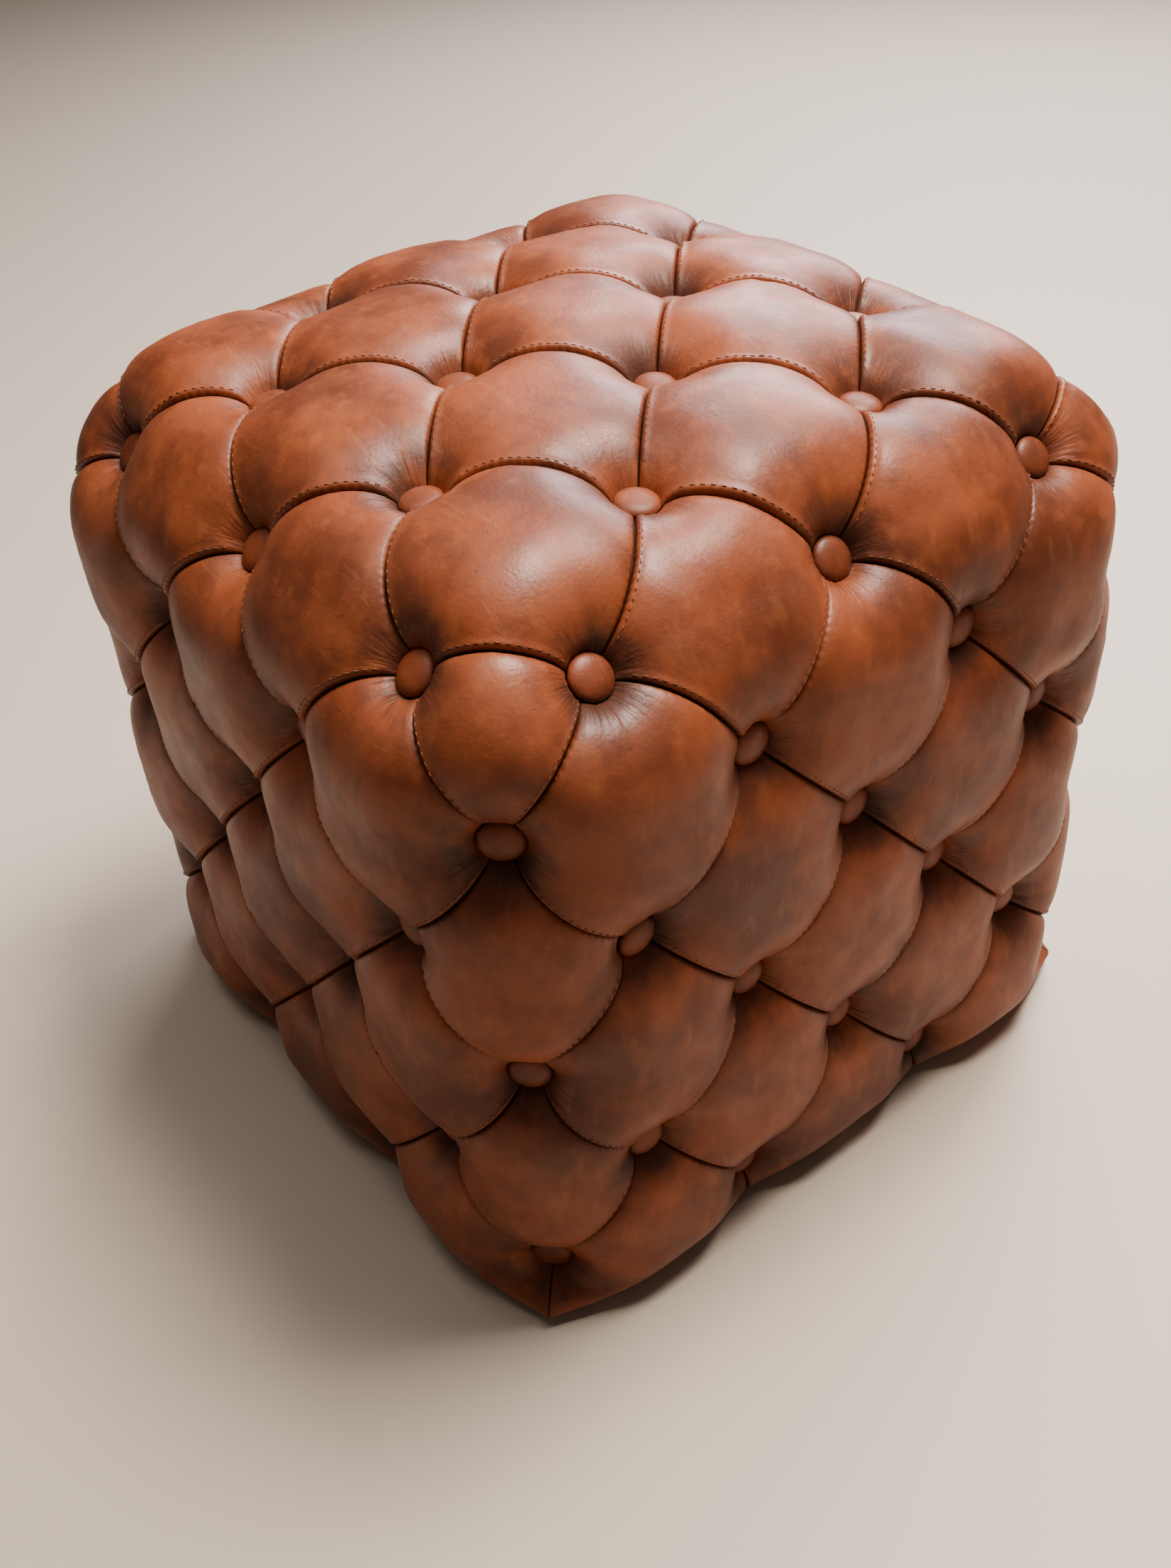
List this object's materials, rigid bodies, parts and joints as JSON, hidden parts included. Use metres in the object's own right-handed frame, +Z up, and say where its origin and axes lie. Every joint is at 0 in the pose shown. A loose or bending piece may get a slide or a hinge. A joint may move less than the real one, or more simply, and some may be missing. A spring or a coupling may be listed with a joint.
{
  "type": "tufted cube ottoman",
  "caption": "Cube ottoman upholstered all over in deeply diamond-tufted leather with covered buttons, on low glides.",
  "frame": {"origin": "middle of the footprint, on the floor that the glides stand on", "axes": "+Z up; -Y is the front, which the object has only by name, because all four sides are alike"},
  "size_m": [0.496, 0.496, 0.49],
  "materials": {
    "cover_leather": "satin",
    "button_leather": "satin",
    "foam": "matte",
    "plywood": "matte",
    "timber": "matte",
    "dust_cloth": "matte",
    "glide_nylon": "matte"
  },
  "bodies": {
    "root": {"leather_cover": "cover_leather", "button_row_top_1": "button_leather", "button_row_top_2": "button_leather", "button_row_top_3": "button_leather", "button_row_top_4": "button_leather", "button_row_top_5": "button_leather", "button_row_front_1": "button_leather", "button_row_front_2": "button_leather", "button_row_front_3": "button_leather", "button_row_front_4": "button_leather", "button_row_front_5": "button_leather", "edge_buttons_top_front": "button_leather", "edge_buttons_front_corner": "button_leather", "button_row_right_1": "button_leather", "button_row_right_2": "button_leather", "button_row_right_3": "button_leather", "button_row_right_4": "button_leather", "button_row_right_5": "button_leather", "edge_buttons_top_right": "button_leather", "edge_buttons_right_corner": "button_leather", "button_row_back_1": "button_leather", "button_row_back_2": "button_leather", "button_row_back_3": "button_leather", "button_row_back_4": "button_leather", "button_row_back_5": "button_leather", "edge_buttons_top_back": "button_leather", "edge_buttons_back_corner": "button_leather", "button_row_left_1": "button_leather", "button_row_left_2": "button_leather", "button_row_left_3": "button_leather", "button_row_left_4": "button_leather", "button_row_left_5": "button_leather", "edge_buttons_top_left": "button_leather", "edge_buttons_left_corner": "button_leather", "foam_pad_top": "foam", "foam_pad_front": "foam", "foam_pad_right": "foam", "foam_pad_back": "foam", "foam_pad_left": "foam", "deck_panel": "plywood", "side_panel_front": "plywood", "side_panel_right": "plywood", "side_panel_back": "plywood", "side_panel_left": "plywood", "corner_post_front_left": "timber", "corner_post_front_right": "timber", "corner_post_back_left": "timber", "corner_post_back_right": "timber", "bottom_rail_front": "timber", "bottom_rail_right": "timber", "bottom_rail_back": "timber", "bottom_rail_left": "timber", "cross_brace": "timber", "dust_cover": "dust_cloth", "glide_front_left": "glide_nylon", "glide_front_right": "glide_nylon", "glide_back_left": "glide_nylon", "glide_back_right": "glide_nylon"}
  },
  "joints": []
}
